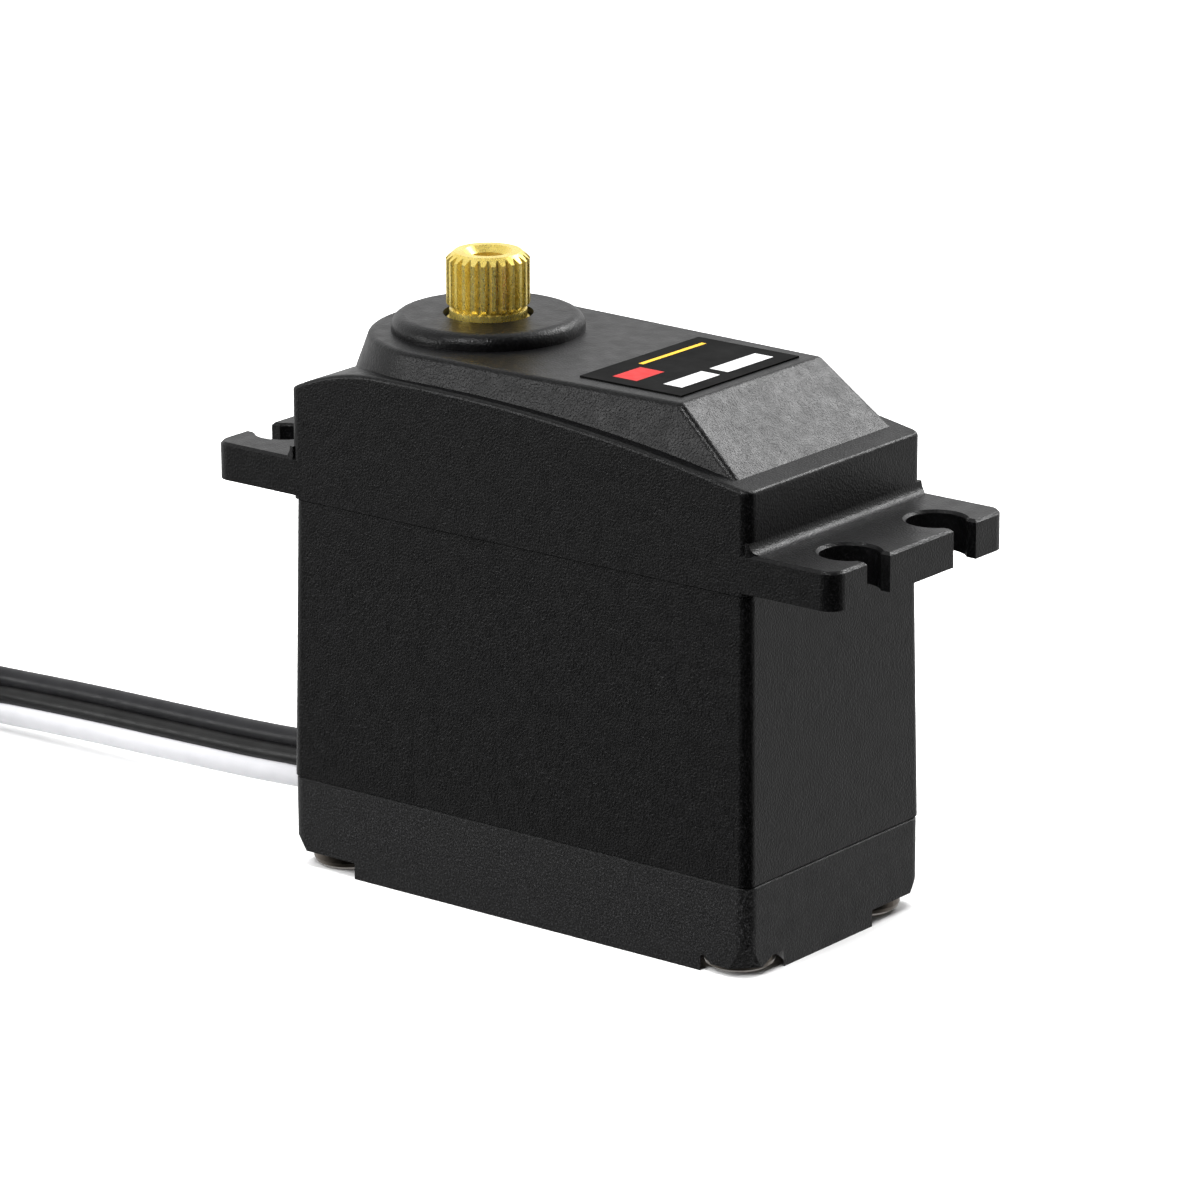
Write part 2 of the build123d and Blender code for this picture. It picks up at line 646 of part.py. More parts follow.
def upper_hollow():
    """The gear chamber, less the posts and bosses that stand in it."""
    seam = UPPER_SEAM_Z
    hollow = centered(INNER_X, INNER_Y, (seam, UPPER_POST_TOP_Z), INNER_CORNER)
    for place in SCREW_PLACES:
        hollow -= cylinder(place, (seam, UPPER_POST_TOP_Z), UPPER_POST)
    attic_y = (-ATTIC_HALF_WIDTH, ATTIC_HALF_WIDTH)
    hollow += block(ATTIC_X, attic_y, (UPPER_POST_TOP_Z, CEILING_Z), INNER_CORNER)
    hollow += cylinder(OUTPUT, (seam, UPPER_BEARING["z0"]), GEAR_CHAMBER_RADIUS)
    hollow -= cylinder(PIN_B, (THIRD_PINION_TOP + PIN_BOSS_GAP, CEILING_Z), PIN_B_BOSS)
    hollow -= cylinder(PIN_A, (SECOND_PINION_TOP + PIN_BOSS_GAP, CEILING_Z), PIN_A_BOSS)
    for turn in (-STOP_BLOCK_ANGLE, STOP_BLOCK_ANGLE):
        stop = block(STOP_X, (-STOP_HALF_WIDTH, STOP_HALF_WIDTH), STOP_Z)
        hollow -= Pos(OUTPUT_X, 0, 0) * Rot(0, 0, turn) * stop
    return hollow


def make_upper_case():
    boss = cylinder(OUTPUT, (TOP_Z - 1, BOSS_TOP_Z), BOSS_RADIUS)
    boss = fillet(boss.edges().sort_by(Axis.Z)[-1], BOSS_ROUNDING)
    body = crowned_block() + raised_top() + boss
    body += flange_plate()
    body += flange_root(1) + flange_root(-1)
    body -= upper_hollow()
    body -= cylinder(OUTPUT, (UPPER_BEARING["z0"] - 0.1, UPPER_BEARING["z1"]), UPPER_BEARING["outer"])
    body -= cylinder(OUTPUT, (UPPER_BEARING["z1"], BOSS_TOP_Z), BOSS_BORE)
    for pin in (PIN_A, PIN_B):
        body -= cylinder(pin, (SECOND_PINION_TOP, PIN_TOP_Z), PIN_SEAT)
    for place in SCREW_PLACES:
        body -= cylinder(place, (UPPER_SEAM_Z, SCREW_TIP_Z + 0.3), SCREW_PILOT)
    save("upper_case", body)


# ---- Middle case and bottom cover ----------------------------------------------------


def shell_body(corner, *levels):
    """A shell's outside, from (height, how far it is outside the upper case's outline) pairs."""
    outlines = []
    for z, outset in levels:
        length, width = CASE_LENGTH + 2 * outset, CASE_WIDTH + 2 * outset
        outlines.append(Plane.XY.offset(z) * RectangleRounded(length, width, corner))
    return loft(outlines, ruled=True)


def lead_slot(z_range):
    """The part of the lead's slot in the -X wall that falls in one shell."""
    return block((-HALF_LENGTH - 1, -INNER_X + 0.5), (-SLOT_HALF_WIDTH, SLOT_HALF_WIDTH), z_range)


def make_middle_case():
    outer = shell_body(
        CASE_CORNER,
        (COVER_SEAM_Z, FOOT_OUTSET - SEAM_CHAMFER),
        (COVER_SEAM_Z + SEAM_CHAMFER, FOOT_OUTSET),
        (UPPER_SEAM_Z - SEAM_CHAMFER, -WAIST_INSET),
        (UPPER_SEAM_Z, -WAIST_INSET - SEAM_CHAMFER),
    )
    hollow = centered(LOWER_INNER_X, LOWER_INNER_Y, (COVER_SEAM_Z, DECK_Z), INNER_CORNER)
    hollow -= cylinder(OUTPUT, (DECK_BOSS_Z, DECK_Z), DECK_BOSS_RADIUS)
    for place in SCREW_PLACES:
        hollow -= cylinder(place, (COVER_SEAM_Z, DECK_Z), MIDDLE_POST)
    body = outer - hollow

    tongue_z = (UPPER_SEAM_Z, UPPER_SEAM_Z + TONGUE_HEIGHT)
    tongue = centered(INNER_X - 0.05, INNER_Y - 0.05, tongue_z, INNER_CORNER)
    tongue -= centered(INNER_X - 0.05 - TONGUE_WIDTH, INNER_Y - 0.05 - TONGUE_WIDTH, tongue_z, 0.3)
    for place in SCREW_PLACES:
        tongue -= cylinder(place, tongue_z, UPPER_POST + 0.1)
        body -= cylinder(place, (COVER_SEAM_Z, UPPER_SEAM_Z), SCREW_HOLE)
    body += tongue

    body -= cylinder(OUTPUT, (LOWER_BEARING["z0"], UPPER_SEAM_Z), LOWER_BEARING["outer"])
    body -= cylinder(OUTPUT, (DECK_BOSS_Z, LOWER_BEARING["z0"]), POT_NECK_RADIUS)
    body -= cylinder(MOTOR, (DECK_Z, UPPER_SEAM_Z), MOTOR_BOSS_RADIUS + 0.1)
    for side in (-1, 1):
        place = (MOTOR[0], MOTOR[1] + side * MOTOR_SCREW_OFFSET)
        body -= cylinder(place, (DECK_Z, UPPER_SEAM_Z), MOTOR_SCREW_SHANK + 0.15)
    body -= cylinder(PIN_B, (DECK_Z, UPPER_SEAM_Z), PIN_SEAT)
    body -= lead_slot((COVER_SEAM_Z, SLOT_Z[1]))
    save("middle_case", body)


def corner_bevel():
    """What the slanting cut takes off the cover's (+X, +Y) corner, from just above the floor."""
    foot_z, top_z = CORNER_BEVEL_Z
    rounded_tip = COVER_CORNER * (math.sqrt(2) - 1)
    wedges = []
    for z in (foot_z, top_z):
        reach_in = math.sqrt(2) * (rounded_tip + CORNER_BEVEL_SLOPE * (top_z - z))
        corner_x, corner_y = HALF_LENGTH + FOOT_OUTSET, HALF_WIDTH + FOOT_OUTSET
        wedges.append(Plane.XY.offset(z) * make_face(Polyline(
            (corner_x - reach_in, corner_y),
            (corner_x, corner_y - reach_in),
            (corner_x + reach_in, corner_y + reach_in),
            close=True,
        )))
    return loft(wedges, ruled=True)


def screw_corner(recess):
    """The pocket for the case screw at the cover's (+X, +Y) corner, out through both side walls."""
    place = (SCREW_X, SCREW_Y)
    pocket = cylinder(place, (0, SCREW_RECESS_TOP_Z), recess)
    return pocket + block((place[0], HALF_LENGTH + 1), (place[1], HALF_WIDTH + 1), (0, SCREW_RECESS_TOP_Z))


def lipped_corner():
    """The same pocket, less the lip that the corner keeps outside the screw's head."""
    far_x, far_y = HALF_LENGTH + 1, HALF_WIDTH + 1
    faces = []
    for z, (start_x, start_y) in zip(LIP_Z, LIP_START):
        faces.append(Plane.XY.offset(z) * make_face(Polyline(
            (start_x, far_y), (start_x, start_y), (far_x, start_y), (far_x, far_y), close=True,
        )))
    pocket = screw_corner(LIPPED_RECESS) - loft(faces, ruled=True)
    return pocket + cylinder((SCREW_X, SCREW_Y), (0, SCREW_HEAD_Z[1]), SCREW_SEAT)


def make_bottom_cover():
    body = shell_body(
        COVER_CORNER,
        (0, FOOT_OUTSET),
        (COVER_SEAM_Z - SEAM_CHAMFER, FOOT_OUTSET),
        (COVER_SEAM_Z, FOOT_OUTSET - SEAM_CHAMFER),
    )
    hollow = centered(LOWER_INNER_X, LOWER_INNER_Y, (FLOOR_Z, COVER_SEAM_Z), INNER_CORNER)
    for place in SCREW_PLACES:
        hollow -= cylinder(place, (FLOOR_Z, COVER_SEAM_Z), COVER_POST)
    for x in BOARD_RIB_X:
        rib_x = (x - BOARD_RIB_HALF_WIDTH, x + BOARD_RIB_HALF_WIDTH)
        for side in (-1, 1):
            y_range = sorted((side * (BOARD_HALF_WIDTH - 1), side * INNER_Y))
            hollow -= block(rib_x, y_range, (FLOOR_Z, BOARD_Z[0]))
    body -= hollow
    open_cut = corner_bevel() + screw_corner(OPEN_RECESS)
    lipped_cut = corner_bevel() + lipped_corner()
    body -= open_cut
    body -= mirror(lipped_cut, Plane.XZ)
    body -= mirror(open_cut, Plane.YZ)
    body -= mirror(mirror(open_cut, Plane.YZ), Plane.XZ)
    for place in SCREW_PLACES:
        body -= cylinder(place, (SCREW_HEAD_Z[1], COVER_SEAM_Z), SCREW_HOLE)
    save("bottom_cover", body - lead_slot((SLOT_Z[0], COVER_SEAM_Z)))


# ---- Fasteners and pins --------------------------------------------------------------


def cross_recess(center, z_range, width, length):
    """A cross-head driver recess."""
    arms = block((-length / 2, length / 2), (-width / 2, width / 2), z_range)
    arms += block((-width / 2, width / 2), (-length / 2, length / 2), z_range)
    return Pos(center[0], center[1], 0) * arms


def make_fasteners():
    head_low, head_high = SCREW_HEAD_Z
    screws = []
    for place in SCREW_PLACES:
        screw = revolved(place, [
            (0, head_low),
            (SCREW_HEAD - 0.5, head_low),
            (SCREW_HEAD - 0.12, head_low + 0.25),
            (SCREW_HEAD, head_low + 0.55),
            (SCREW_HEAD, head_high),
            (SCREW_SHANK, head_high),
            (SCREW_SHANK, SCREW_TIP_Z - 0.8),
            (0.4, SCREW_TIP_Z),
            (0, SCREW_TIP_Z),
        ])
        screws.append(screw - cross_recess(place, (head_low, head_low + 0.6), 0.5, 2.4))
    save("case_screws", group(screws))

    motor_screws = []
    for side in (-1, 1):
        place = (MOTOR[0], MOTOR[1] + side * MOTOR_SCREW_OFFSET)
        head_z = (UPPER_SEAM_Z, UPPER_SEAM_Z + MOTOR_SCREW_HEAD_HEIGHT)
        screw = cylinder(place, head_z, MOTOR_SCREW_HEAD)
        screw += cylinder(place, (MOTOR_SCREW_TIP_Z, UPPER_SEAM_Z), MOTOR_SCREW_SHANK)
        motor_screws.append(screw - cross_recess(place, (head_z[1] - 0.4, head_z[1]), 0.35, 1.6))
    save("motor_screws", group(motor_screws))

    save("gear_pin_a", cylinder(PIN_A, (PIN_A_FOOT_Z, PIN_TOP_Z), PIN_RADIUS))
    save("gear_pin_b", cylinder(PIN_B, (DECK_Z, PIN_TOP_Z), PIN_RADIUS))


# ---- Motor ---------------------------------------------------------------------------


def make_motor():
    can = ring(MOTOR, (CAN_BOTTOM_Z, CAN_TOP_Z), CAN_RADIUS, CAN_INNER)
    can += cylinder(MOTOR, (CAN_TOP_Z - CAN_PLATE, CAN_TOP_Z), CAN_RADIUS)
    can += cylinder(MOTOR, (CAN_TOP_Z, MOTOR_BOSS_TOP_Z), MOTOR_BOSS_RADIUS)
    can -= cylinder(MOTOR, (CAN_TOP_Z - CAN_PLATE, MOTOR_BOSS_TOP_Z), BUSHING_RADIUS)
    for side in (-1, 1):
        place = (MOTOR[0], MOTOR[1] + side * MOTOR_SCREW_OFFSET)
        can -= cylinder(place, (CAN_TOP_Z - CAN_PLATE, CAN_TOP_Z), MOTOR_SCREW_SHANK + 0.02)
    save("motor_can", can)

    cap = cylinder(MOTOR, (END_CAP_Z, CAN_BOTTOM_Z), CAN_RADIUS)
    cap += cylinder(MOTOR, (CAN_BOTTOM_Z, END_CAP_PLUG_Z), CAN_INNER)
    cap -= cylinder(MOTOR, (END_CAP_Z, END_CAP_PLUG_Z), BUSHING_RADIUS)
    save("motor_end_cap", cap)

    bearing_z = ((END_CAP_Z, CAN_BOTTOM_Z), (CAN_TOP_Z - CAN_PLATE, MOTOR_BOSS_TOP_Z))
    save("motor_bushings", group(ring(MOTOR, z, BUSHING_RADIUS, PIN_BORE) for z in bearing_z))
    radii = (MAGNET_INNER, CAN_INNER)
    save("motor_magnets", group(sector(MOTOR, MAGNET_Z, radii, side, MAGNET_SPAN) for side in (0, 180)))

    save("motor_shaft", cylinder(MOTOR, MOTOR_SHAFT_Z, MOTOR_SHAFT_RADIUS))
    core = cylinder(MOTOR, CORE_Z, CORE_HUB)
    windings = []
    for pole in range(POLES):
        turn = 360 * pole / POLES
        arm = block((0, CORE_RADIUS - 0.5), (-ARM_WIDTH / 2, ARM_WIDTH / 2), CORE_Z)
        core += Pos(MOTOR[0], MOTOR[1], 0) * Rot(0, 0, turn) * arm
        core += sector(MOTOR, CORE_Z, (CORE_RADIUS - 1, CORE_RADIUS), turn, POLE_SPAN)
        coil = block(WINDING_RADII, (-WINDING_WIDTH / 2, WINDING_WIDTH / 2), WINDING_Z, 0.5)
        coil -= block((0, CORE_RADIUS), (-ARM_WIDTH / 2, ARM_WIDTH / 2), CORE_Z)
        windings.append(Pos(MOTOR[0], MOTOR[1], 0) * Rot(0, 0, turn) * coil)
    save("rotor_core", core - cylinder(MOTOR, CORE_Z, MOTOR_SHAFT_RADIUS))
    save("rotor_windings", group(windings))

    commutator = ring(MOTOR, COMMUTATOR_Z, COMMUTATOR_RADIUS, MOTOR_SHAFT_RADIUS)
    for pole in range(POLES):
        slit = block((COMMUTATOR_RADIUS - 0.5, COMMUTATOR_RADIUS + 0.1), (-0.15, 0.15), COMMUTATOR_Z)
        commutator -= Pos(MOTOR[0], MOTOR[1], 0) * Rot(0, 0, 360 * (pole + 0.5) / POLES) * slit
    save("commutator", commutator)

    brushes = []
    terminals = []
    for side in (-1, 1):
        near = COMMUTATOR_RADIUS + 0.03
        far = near + BRUSH_THICKNESS
        end_x = MOTOR[0] + BRUSH_HALF_LENGTH
        blade_y = [MOTOR[1] + y for y in sorted((side * near, side * far))]
        blade = block((MOTOR[0] - BRUSH_HALF_LENGTH, end_x), blade_y, BRUSH_Z)
        foot = block((end_x - 0.6, end_x), blade_y, (END_CAP_PLUG_Z, BRUSH_Z[1]))
        brushes.append(blade + foot)
        tab_x = (MOTOR[0] - TERMINAL_HALF_WIDTH, MOTOR[0] + TERMINAL_HALF_WIDTH)
        tab_y = MOTOR[1] + side * TERMINAL_OFFSET
        terminals.append(block(tab_x, (tab_y - 0.2, tab_y + 0.2), (BOARD_Z[1], END_CAP_Z)))
    save("motor_brushes", group(brushes))
    save("motor_terminals", group(terminals))


# ---- Position sensor -----------------------------------------------------------------


def make_pot():
    housing = cylinder(OUTPUT, POT_Z, POT_RADIUS)
    housing -= cylinder(OUTPUT, (POT_Z[0] + POT_WALL, POT_Z[1] - POT_WALL), POT_INNER)
    housing += cylinder(OUTPUT, (POT_Z[1], POT_NECK_TOP_Z), POT_NECK_RADIUS)
    housing -= cylinder(OUTPUT, (POT_Z[0] + POT_WALL, POT_NECK_TOP_Z), POT_SHAFT_RADIUS + 0.05)
    track_z = (POT_Z[0] + POT_WALL, POT_Z[0] + POT_WALL + 0.4)
    pin_places = [(OUTPUT_X - 7.0, OUTPUT_X - 3.6, y * POT_PIN_PITCH) for y in (-1, 0, 1)]
    pin_z = (track_z[0] - POT_PIN_THICKNESS, track_z[0])
    pins = [block((x0, x1), (y - POT_PIN_HALF, y + POT_PIN_HALF), pin_z) for x0, x1, y in pin_places]
    for pin in pins:
        housing -= pin
    save("pot_housing", housing)
    save("pot_terminals", group(pins))
    save("pot_track", ring(OUTPUT, track_z, POT_INNER, 2.0))

    shaft = cylinder(OUTPUT, (track_z[1] + 0.5, LOWER_BEARING["z0"]), POT_SHAFT_RADIUS)
    shaft += d_section((LOWER_BEARING["z0"], POT_SHAFT_TOP_Z))
    save("pot_shaft", shaft)
    wiper_z = (track_z[1] + 0.2, track_z[1] + 0.5)
    wiper = cylinder(OUTPUT, wiper_z, 2.4)
    arm_x = (OUTPUT_X, OUTPUT_X + 4.0)
    wiper += block(arm_x, (-0.8, 0.8), wiper_z)
    for y in (-0.5, 0.5):
        wiper += cylinder((OUTPUT_X + 3.6, y), (track_z[1] + 0.03, wiper_z[0]), 0.25)
    save("pot_wiper", wiper)

    leads = []
    for x0, _, y in pin_places:
        start = (x0 + 0.5, y, pin_z[0])
        far_x = x0 + POT_WIRE_RUN
        upper_bend_z, lower_bend_z = POT_WIRE_BEND_Z
        route = FilletPolyline(
            start, (start[0], y, upper_bend_z), (far_x, y, lower_bend_z), (far_x, y, BOARD_Z[1]),
            radius=1.5,
        )
        section = Plane(start, z_dir=(0, 0, -1)) * Circle(POT_WIRE_RADIUS)
        leads.append(sweep(section, route))
    save("pot_leads", group(leads))


# ---- Control board -------------------------------------------------------------------


def make_board():
    half = BOARD_HALF_WIDTH
    save("control_board", block(BOARD_X, (-half, half), BOARD_Z, 0.5))
    under = BOARD_Z[0]
    chips = [block((-5.5, -0.5), (-2.5, 2.5), (under - 1.0, under), 0.2)]
    for y in (-DRIVER_CHIP_Y, DRIVER_CHIP_Y):
        chips.append(block(DRIVER_CHIP_X, (y - 1.95, y + 1.95), (under - 1.3, under), 0.2))
    save("board_chips", group(chips))
    save("board_capacitor", cylinder((-9.5, -4.2), (FLOOR_Z + 0.4, under), 2.0))
    resistors = []
    for column in range(3):
        for row in range(3):
            x = RESISTOR_START[0] + RESISTOR_PITCH[0] * column
            y = RESISTOR_START[1] + RESISTOR_PITCH[1] * row
            resistors.append(block((x - 0.4, x + 0.4), (y - 0.8, y + 0.8), (under - 0.45, under)))
    save("board_resistors", group(resistors))


# ---- Lead ----------------------------------------------------------------------------


def cord_radii(route):
    """The largest arc that each corner of a route leaves room for."""
    radii = []
    points = [Vector(*point) for point in route]
    for before, corner, after in zip(points, points[1:], points[2:]):
        turn = (corner - before).get_angle(after - corner)
        shorter = min((corner - before).length, (after - corner).length)
        radii.append(0.45 * shorter / math.tan(math.radians(turn) / 2))
    return radii


def ribbon(name, route):
    """The flat lead along a route of straight runs and tangent arcs, standing on edge."""
    radii = cord_radii(route)
    print(name, "radii", [round(radius, 1) for radius in radii])
    path = FilletPolyline(*route, radius=radii)
    along = Vector(*route[1]) - Vector(*route[0])
    across = Vector(-along.Y, along.X, 0)
    section = Plane(route[0], x_dir=across, z_dir=along) * RectangleRounded(
        RIBBON_THICKNESS, RIBBON_HEIGHT, 0.6
    )
    body = sweep(section, path)
    share = body.volume / (section.area * path.length)
    print(name, "length", round(path.length, 1), "volume over section times length", round(share, 4))
    return body


def oval(radius, z_range):
    """A flat-sided disc round both fold centres of the hank."""
    body = cylinder(HANK_RIGHT, z_range, radius) + cylinder(HANK_LEFT, z_range, radius)
    middle_y = HANK_RIGHT[1]
    return body + block((HANK_LEFT[0], HANK_RIGHT[0]), (middle_y - radius, middle_y + radius), z_range)


def make_grommet(lead):
    """Rubber boot with a flange inside the wall and a tapered outer part, round the lead."""
    half, low, high = SLOT_HALF_WIDTH, SLOT_Z[0], SLOT_Z[1]
    wall_x = -HALF_LENGTH - FOOT_OUTSET
    neck = block((wall_x, GROMMET_FLANGE_X), (-half, half), (low, high))
    flange_z = (FLOOR_Z + 0.05, high + 0.7)
    flange_y = (-GROMMET_FLANGE_HALF, GROMMET_FLANGE_HALF)
    flange = block((GROMMET_FLANGE_X, GROMMET_X[1]), flange_y, flange_z, 0.2)
    wide = RectangleRounded(*GROMMET_WIDE, GROMMET_CORNER)
    narrow = RectangleRounded(*GROMMET_NARROW, GROMMET_CORNER)
    boot = loft([
        Plane((wall_x, 0, (low + high) / 2), z_dir=(-1, 0, 0)) * wide,
        Plane((GROMMET_X[0], 0, GROMMET_TIP_Z), z_dir=(-1, 0, 0)) * narrow,
    ], ruled=True)
    save("cable_grommet", neck + flange + boot - lead)


def make_connector(tail):
    """Three-way socket housing on the end of the lead, with its contacts."""
    length, thickness, height = CONNECTOR_SIZE
    place = Pos(TAIL_ROUTE[-1][0], TAIL_ROUTE[-1][1], 0) * Rot(0, 0, CONNECTOR_HEADING)
    far_x = length - CONNECTOR_BITE
    half = thickness / 2
    housing = block((-CONNECTOR_BITE, far_x), (-half, half), (CONNECTOR_FOOT_Z, height))
    middle = (height + CONNECTOR_FOOT_Z) / 2
    contacts = []
    for index in (-1, 0, 1):
        z = middle + index * CONTACT_PITCH
        cavity_z = (z - CAVITY_HALF, z + CAVITY_HALF)
        housing -= block((CAVITY_START, far_x), (-CAVITY_HALF, CAVITY_HALF), cavity_z)
        outer, inner = CAVITY_HALF - 0.15, CAVITY_HALF - 0.5
        contact = block((CAVITY_START, far_x - 1.5), (-outer, outer), (z - outer, z + outer))
        contact -= block((CAVITY_START + 3, far_x), (-inner, inner), (z - inner, z + inner))
        contacts.append(place * contact)
    save("connector_housing", place * housing - tail)
    save("connector_contacts", group(contacts))


def make_ties():
    """Two twist ties, one round each long side of the hank."""
    ties = []
    tie_x = (TIE_X - TIE_WIDTH / 2, TIE_X + TIE_WIDTH / 2)
    for side in (-1, 1):
        near, far = (HANK_RIGHT[1] + side * radius for radius in HANK_RADII)
        inside = sorted((near, far))
        around = (inside[0] - TIE_THICKNESS, inside[1] + TIE_THICKNESS)
        band_z = (HANK_Z[0] - TIE_THICKNESS, HANK_Z[1] + TIE_THICKNESS)
        ties.append(block(tie_x, around, band_z) - block(tie_x, inside, HANK_Z))
    save("lead_ties", group(ties))


def make_lead():
    lead = ribbon("servo_lead", LEAD_ROUTE)
    tail = ribbon("servo_lead_tail", TAIL_ROUTE)
    inner, outer = HANK_RADII
    save("servo_lead", lead)
    save("servo_lead_tail", tail)
    save("servo_lead_hank", oval(outer, HANK_Z) - oval(inner, HANK_Z) - lead - tail)
    make_ties()
    make_grommet(lead)
    make_connector(tail)


# ---- Everything ----------------------------------------------------------------------

make_upper_case()
make_middle_case()
make_bottom_cover()
save("label", block(LABEL_X, (-LABEL_HALF_WIDTH, LABEL_HALF_WIDTH), (TOP_Z, TOP_Z + LABEL_THICKNESS)))
make_fasteners()
make_bearing("upper_bearing", **UPPER_BEARING)
make_bearing("lower_bearing", **LOWER_BEARING)
make_gears()
make_output_shaft()
make_motor()
make_pot()
make_board()
make_lead()
for node, solids, volume in report:
    print(f"{node:24s} {solids:3d} solids {volume:10.2f} mm3")
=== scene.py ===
import math

import bpy
from mathutils import Matrix, Vector


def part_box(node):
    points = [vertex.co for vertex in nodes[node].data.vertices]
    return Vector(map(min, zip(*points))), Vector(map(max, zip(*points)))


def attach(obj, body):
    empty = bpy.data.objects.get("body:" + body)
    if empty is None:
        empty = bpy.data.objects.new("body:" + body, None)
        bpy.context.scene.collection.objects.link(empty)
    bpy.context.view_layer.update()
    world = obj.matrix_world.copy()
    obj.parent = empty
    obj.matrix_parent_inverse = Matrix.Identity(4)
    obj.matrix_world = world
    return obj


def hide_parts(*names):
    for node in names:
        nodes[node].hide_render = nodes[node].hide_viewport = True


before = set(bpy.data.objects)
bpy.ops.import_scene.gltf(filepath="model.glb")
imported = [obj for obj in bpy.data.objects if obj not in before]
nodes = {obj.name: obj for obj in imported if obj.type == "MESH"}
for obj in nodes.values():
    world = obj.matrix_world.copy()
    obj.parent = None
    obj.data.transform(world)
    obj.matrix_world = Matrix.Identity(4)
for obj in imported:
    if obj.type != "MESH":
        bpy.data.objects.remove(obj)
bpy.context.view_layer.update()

MM = 0.001


# ---- Camera --------------------------------------------------------------------------

CAMERA_AZIMUTH = 38.234       # degrees from the -Y side towards +X
CAMERA_ELEVATION = 16.805
CAMERA_ROLL = -0.176
CAMERA_PLACE = (0.273001, -0.346851, 0.154403)
CAMERA_LENS = 196.8          # on a 36 mm sensor


def make_camera():
    """A long lens from the front right, looking down on the object."""
    data = bpy.data.cameras.new("camera")
    data.sensor_width = 36
    data.lens = CAMERA_LENS
    data.clip_start = 0.01
    data.clip_end = 10
    camera = bpy.data.objects.new("camera", data)
    turned = Matrix.Rotation(math.radians(CAMERA_AZIMUTH), 3, "Z")
    tilted = Matrix.Rotation(math.radians(90 - CAMERA_ELEVATION), 3, "X")
    rolled = Matrix.Rotation(math.radians(CAMERA_ROLL), 3, "Z")
    camera.location = CAMERA_PLACE
    camera.rotation_euler = (turned @ tilted @ rolled).to_euler()
    bpy.context.collection.objects.link(camera)
    bpy.context.scene.camera = camera


# ---- Materials -----------------------------------------------------------------------


class Shader:
    """A material under construction: its node tree, its main shader and its object coordinates."""

    def __init__(self, name):
        self.material = bpy.data.materials.new(name)
        self.material.use_nodes = True
        self.tree = self.material.node_tree
        self.bsdf = self.tree.nodes["Principled BSDF"]
        self.place = self.node("ShaderNodeTexCoord").outputs["Object"]

    def node(self, kind, **settings):
        made = self.tree.nodes.new(kind)
        for key, value in settings.items():
            setattr(made, key, value)
        return made

    def link(self, source, target):
        self.tree.links.new(source, target)

    def set(self, **values):
        """Constants on the main shader's own sockets."""
        for key, value in values.items():
            self.bsdf.inputs[key.replace("_", " ")].default_value = value

    def noise(self, scale, detail=2.0, stretch=None):
        """A noise pattern in object space; scale is in features per metre."""
        texture = self.node("ShaderNodeTexNoise")
        texture.inputs["Scale"].default_value = scale
        texture.inputs["Detail"].default_value = detail
        source = self.place
        if stretch:
            mapping = self.node("ShaderNodeMapping")
            mapping.inputs["Scale"].default_value = stretch
            self.link(source, mapping.inputs["Vector"])
            source = mapping.outputs["Vector"]
        self.link(source, texture.inputs["Vector"])
        return texture.outputs["Fac"]

    def ramp(self, factor, low, high, start=0.3, end=0.7):
        """Colours or greys blended along a pattern."""
        ramp = self.node("ShaderNodeValToRGB")
        stops = ramp.color_ramp.elements
        stops[0].position, stops[1].position = start, end
        stops[0].color = low if len(low) == 4 else (*low, 1)
        stops[1].color = high if len(high) == 4 else (*high, 1)
        self.link(factor, ramp.inputs["Fac"])
        return ramp.outputs["Color"]

    def color(self, factor, low, high, start=0.3, end=0.7):
        self.link(self.ramp(factor, low, high, start, end), self.bsdf.inputs["Base Color"])

    def roughness(self, factor, low, high):
        """Roughness that follows a pattern between two values."""
        spread = self.node("ShaderNodeMapRange")
        spread.inputs["From Min"].default_value = 0.3
        spread.inputs["From Max"].default_value = 0.7
        spread.inputs["To Min"].default_value = low
        spread.inputs["To Max"].default_value = high
        self.link(factor, spread.inputs["Value"])
        self.link(spread.outputs["Result"], self.bsdf.inputs["Roughness"])

    def bump(self, height, strength, distance):
        """Adds a layer of relief over what is there already."""
        bump = self.node("ShaderNodeBump")
        bump.inputs["Strength"].default_value = strength
        bump.inputs["Distance"].default_value = distance
        self.link(height, bump.inputs["Height"])
        normal = self.bsdf.inputs["Normal"]
        if normal.links:
            self.link(normal.links[0].from_socket, bump.inputs["Normal"])
        self.link(bump.outputs["Normal"], normal)


def case_plastic(name, tint, rough):
    """Black nylon from a spark-eroded mould: a fine sparkling grain and slow changes of gloss."""
    shader = Shader(name)
    shader.color(shader.noise(7000, 1), tint, [5 * value for value in tint], 0.52, 0.72)
    shader.roughness(shader.noise(900, 3), rough - 0.05, rough + 0.05)
    shader.bump(shader.noise(6500, 1), 0.45, 0.00008)
    shader.set(Specular_IOR_Level=0.5)
    return shader.material


def plain_plastic(name, low, high, rough, grain=5000):
    """Smooth moulded plastic or epoxy, or printed ink."""
    shader = Shader(name)
    shader.color(shader.noise(400, 3), low, high)
    shader.roughness(shader.noise(1200, 2), rough - 0.05, rough + 0.07)
    shader.bump(shader.noise(grain, 2), 0.15, 0.00003)
    return shader.material


def metal(name, low, high, rough, stretch=(1, 1, 1), scale=6000, metallic=1.0):
    """Metal with fine tool marks along one direction and a little tarnish."""
    shader = Shader(name)
    shader.color(shader.noise(700, 4), low, high)
    shader.roughness(shader.noise(scale, 3, stretch), rough - 0.07, rough + 0.10)
    shader.bump(shader.noise(scale, 2, stretch), 0.30, 0.00003)
    shader.set(Metallic=metallic)
    return shader.material


def rubber(name, low, high, rough=0.45):
    """Soft insulation or moulded rubber, slightly cloudy."""
    shader = Shader(name)
    shader.color(shader.noise(600, 3), low, high)
    shader.roughness(shader.noise(1500, 2), rough - 0.06, rough + 0.08)
    shader.bump(shader.noise(2500, 2), 0.08, 0.00005)
    return shader.material


